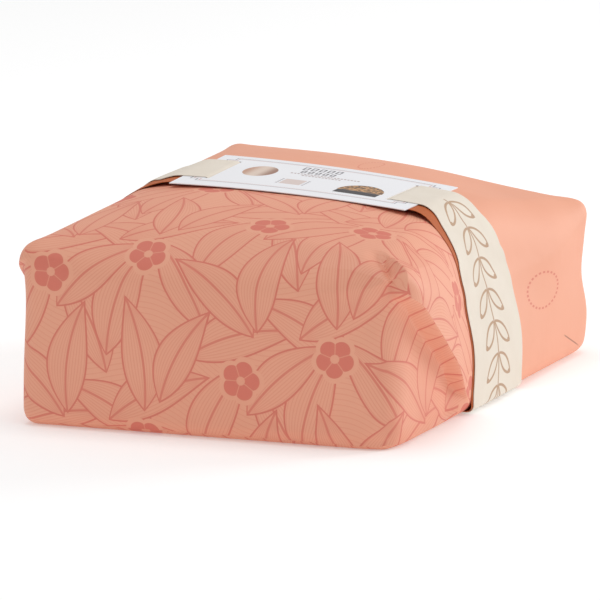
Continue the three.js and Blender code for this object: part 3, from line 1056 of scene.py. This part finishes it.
def band_material():
    material, tree, shader = new_material("band_paper", {"Roughness": 0.68, "Specular IOR Level": 0.3})
    fibre = noise(tree, 0.9, 4.0, (0.2, 1, 1))
    ground = tint(RUSSET["light"], RUSSET["deep"], noise(tree, 0.03))
    put(shader["Base Color"], tint(ground, RUSSET["fibre"], fibre * 0.5))
    put(shader["Normal"], bump(fibre, 0.05))
    return material


def laurel_ink(along, across):
    """The ornament's ink, from 0 to 1."""
    spot = cell(along, LAUREL["pitch"])
    off = abs(across)
    dx = spot - LAUREL["middle"][0]
    dy = off - LAUREL["middle"][1]
    turn = math.radians(LAUREL["angle"])
    share, aside = turned(dx, dy, math.cos(turn), math.sin(turn))
    share = share / LAUREL["half_length"]
    width = most(1.0 - share * share, 0.0) * LAUREL["half_width"]
    outline = step(abs(abs(aside) - width), *LAUREL["stroke"]) * step(abs(share), 1.02, 0.98)
    stem = step(off, *LAUREL["stem"])
    to_berry = length(spot - LAUREL["berry"][0], off - LAUREL["berry"][1])
    berry = step(to_berry, *LAUREL["berry_edge"])
    start = step(along, LAUREL["from"], LAUREL["from"] + 1)
    end = step(along, LAUREL["to"], LAUREL["to"] - 1)
    return most(outline, stem, berry) * (start * end)


def ribbon_material():
    constants = {"Roughness": 0.85, "Specular IOR Level": 0.2, "Sheen Weight": 0.15}
    material, tree, shader = new_material("ribbon_cloth", constants)
    along, across = sheet_place(tree, "strap")
    turns = 2 * math.pi / CLOTH["thread"]
    weave = maths("SINE", across * turns) * maths("SINE", along * turns)
    ground = tint(CLOTH["light"], CLOTH["deep"], noise(tree, 0.05, 3.0))
    ground = tint(ground, CLOTH["deep"], abs(weave) * 0.35)
    ink = laurel_ink(along, across) * LAUREL["ink"]
    put(shader["Base Color"], tint(ground, CLOTH["ink"], ink))
    put(shader["Normal"], bump(weave * 0.12 + noise(tree, 0.06), 0.8, 0.5))
    return material


# ---------- the label's print

# Colours, and places in millimetres from the card's middle
WHITE = {"light": srgb(250, 250, 253), "deep": srgb(245, 245, 249)}
BORDER = {"half": (70.5, 36.5), "middle_v": 3.0, "notch": 5.0, "stroke": (0.55, 0.25),
          "inner": 1.8, "grey": srgb(120, 112, 118), "rose": srgb(205, 150, 140)}
# The foil's colours paint its sheen: a painted highlight left of the middle and painted shade on the right.
FOIL = {"middle": (-38.9, 8.8), "half": (10.3, 16.0), "left": srgb(208, 160, 134),
        "painted_highlight": srgb(238, 216, 200), "right": srgb(170, 126, 106)}
BLOCK = {"middle": (-9.0, -12.7), "half": (6.8, 7.6), "marks": 8.6, "pitch": 3.2,
         "tint": srgb(226, 208, 202), "ink": srgb(120, 100, 104)}
CAKE = {"middle": (35.5, -15.0), "half": (14.6, 19.5), "case_top": -15.0, "case_foot": -25.0,
        "crust": srgb(74, 50, 36), "crumb": srgb(212, 160, 106), "case": srgb(38, 33, 36),
        "rib": srgb(66, 58, 60), "rib_pitch": 1.8}

# Rows of bars: left, right, middle, half height, pitch and gap
TITLE_ROWS = [(-19.5, 8.5, 30.2, 4.0, 5.4, 1.7), (-17.0, 6.5, 20.2, 3.1, 4.8, 1.6)]
SMALL_ROWS = [(-21.0, 25.5, 13.6, 1.1, 2.2, 0.7), (-12.0, 14.5, 9.6, 1.1, 2.2, 0.7)]
BAR_INK = {"title": srgb(78, 68, 76), "small": srgb(150, 112, 104)}
OPEN_BY = {"height": 1.35, "width": 1.7}


def border_line(u, v, inset):
    """A thin frame with stepped corners, from 0 to 1."""
    off_u = abs(u) - (BORDER["half"][0] - inset)
    off_v = abs(v - BORDER["middle_v"]) - (BORDER["half"][1] - inset)
    wide = most(off_u, off_v + BORDER["notch"])
    tall = most(off_u + BORDER["notch"], off_v)
    return step(abs(maths("MINIMUM", wide, tall)), *BORDER["stroke"])


def word_bars(u, v, left, right, middle, half, pitch, gap):
    """A row of short bars that stands for a line of print."""
    inside = inside_box(u, v, ((left + right) / 2, middle), ((right - left) / 2, half))
    bar = (pitch - gap) / 2
    return inside * step(abs(cell(u, pitch)), bar + 0.15, bar - 0.15)


def open_bars(u, v, left, right, middle, half, pitch, gap):
    """The same bars with open middles, so that they are no darker than print."""
    whole = word_bars(u, v, left, right, middle, half, pitch, gap)
    inner = word_bars(u, v, left, right, middle, half - OPEN_BY["height"], pitch, gap + OPEN_BY["width"])
    return most(whole - inner, 0.0)


def pale_block(u, v, colour):
    """A pale tinted panel between two thin columns of marks."""
    off_v = v - BLOCK["middle"][1]
    half_v = BLOCK["half"][1]
    colour = tint(colour, BLOCK["tint"], inside_box(u, v, BLOCK["middle"], BLOCK["half"]))
    column = step(abs(abs(u - BLOCK["middle"][0]) - BLOCK["marks"]), 0.9, 0.6)
    rows = step(abs(cell(off_v, BLOCK["pitch"])), 1.0, 0.7)
    marks = column * rows * step(abs(off_v), half_v + 0.2, half_v)
    return tint(colour, BLOCK["ink"], marks * 0.7)


def foil_disc(u, v, colour):
    """A disc of bronze foil with a painted sheen left of its middle and painted shade towards its right,
    and where it lies.
    """
    across = (u - FOIL["middle"][0]) / FOIL["half"][0]
    # painted highlight and painted shade across the foil
    foil_with_painted_sheen = tint(FOIL["left"], FOIL["painted_highlight"], step(across, -0.9, -0.1))
    foil_with_painted_sheen = tint(foil_with_painted_sheen, FOIL["right"], step(across, 0.0, 0.85))
    disc = inside_oval(u, v, FOIL["middle"], FOIL["half"])
    return tint(colour, foil_with_painted_sheen, disc), disc


def cake_picture(u, v, colour):
    """A small picture of a domed golden cake in a dark paper case."""
    crumb = step(noise(colour.tree, 0.42, 3.0), 0.4, 0.58)
    dome = inside_oval(u, v, CAKE["middle"], CAKE["half"], 0.3)
    above = step(v, CAKE["case_top"] - 0.3, CAKE["case_top"] + 0.3)
    colour = tint(colour, tint(CAKE["crust"], CAKE["crumb"], crumb), dome * above)
    case_half = (CAKE["case_top"] - CAKE["case_foot"]) / 2
    case_middle = (CAKE["middle"][0], CAKE["case_top"] - case_half)
    case = inside_box(u, v, case_middle, (CAKE["half"][0] - 0.6, case_half), 0.4)
    ribs = step(off_round(u / CAKE["rib_pitch"]), 0.1, 0.3)
    return tint(colour, tint(CAKE["case"], CAKE["rib"], ribs), case)


def card_material():
    material, tree, shader = new_material("label_board", {"Roughness": 0.42})
    u, v = sheet_place(tree, "card")
    colour = tint(WHITE["light"], WHITE["deep"], noise(tree, 0.03))
    colour = tint(colour, BORDER["grey"], border_line(u, v, 0) * 0.8)
    colour = tint(colour, BORDER["rose"], border_line(u, v, BORDER["inner"]) * 0.7)
    title = most(*(open_bars(u, v, *row) for row in TITLE_ROWS))
    small = most(*(word_bars(u, v, *row) for row in SMALL_ROWS))
    colour = tint(colour, BAR_INK["title"], title * 0.95)
    colour = tint(colour, BAR_INK["small"], small * 0.75)
    colour = pale_block(u, v, colour)
    colour, foil = foil_disc(u, v, colour)
    colour = cake_picture(u, v, colour)
    put(shader["Base Color"], colour)
    put(shader["Metallic"], foil * 0.25)
    put(shader["Normal"], bump(noise(tree, 1.2, 3.0), 0.03))
    return material


# ---------- stage

def floor_material():
    constants = {"Roughness": 0.9, "Emission Color": (1, 1, 1, 1), "Emission Strength": FLOOR["glow"]}
    material, tree, shader = new_material("floor_white", constants)
    put(shader["Base Color"], tint(FLOOR["light"], FLOOR["deep"], noise(tree, 0.002)))
    return material


def make_camera():
    azimuth = math.radians(CAMERA["azimuth"])
    from_above = math.radians(90 - CAMERA["elevation"])
    turn = Matrix.Rotation(azimuth, 3, "Z") @ Matrix.Rotation(from_above, 3, "X")
    place = turn @ Vector((CAMERA["right"], CAMERA["up"], CAMERA["distance"]))
    data = bpy.data.cameras.new("camera")
    data.sensor_width = CAMERA["sensor"]
    data.lens = CAMERA["focal_px"] * CAMERA["sensor"] / CAMERA["frame_px"]
    data.clip_start = 0.1
    data.clip_end = 60
    camera = add_to_scene("camera", data)
    camera.matrix_world = Matrix.Translation(place * MM) @ turn.to_4x4()
    bpy.context.scene.camera = camera


def make_floor():
    mesh = bpy.data.meshes.new("floor")
    turns = [2 * math.pi * i / FLOOR["sides"] for i in range(FLOOR["sides"])]
    ring = [(FLOOR["radius"] * math.cos(a), FLOOR["radius"] * math.sin(a), 0) for a in turns]
    mesh.from_pydata(ring, [], [list(range(len(ring)))])
    mesh.materials.append(floor_material())
    floor = add_to_scene("floor", mesh)


def make_lamp(name, direction, distance, size, share):
    """A round lamp, aimed at the pack's middle."""
    data = bpy.data.lights.new(name, "AREA")
    data.shape = "DISK"
    data.size = size
    data.energy = share * (math.pi * distance) ** 2
    lamp = add_to_scene(name, data)
    away = Vector(direction).normalized() * distance
    lamp.location = PACK_MIDDLE + away
    lamp.rotation_mode = "QUATERNION"
    lamp.rotation_quaternion = (-away).to_track_quat("-Z", "Y")


def make_light():
    for lamp in LAMPS:
        make_lamp(*lamp)
    world = bpy.data.worlds.new("studio")
    bpy.context.scene.world = world
    world.use_nodes = True
    background = world.node_tree.nodes["Background"]
    background.inputs["Color"].default_value = (1, 1, 1, 1)
    background.inputs["Strength"].default_value = WORLD_SHARE
    bpy.context.scene.view_settings.view_transform = "Standard"


# ---------- the scene

make_camera()
make_floor()
make_light()
make_pack(wrap_material())
make_band(band_material())
make_ribbon(ribbon_material())
make_card(card_material())
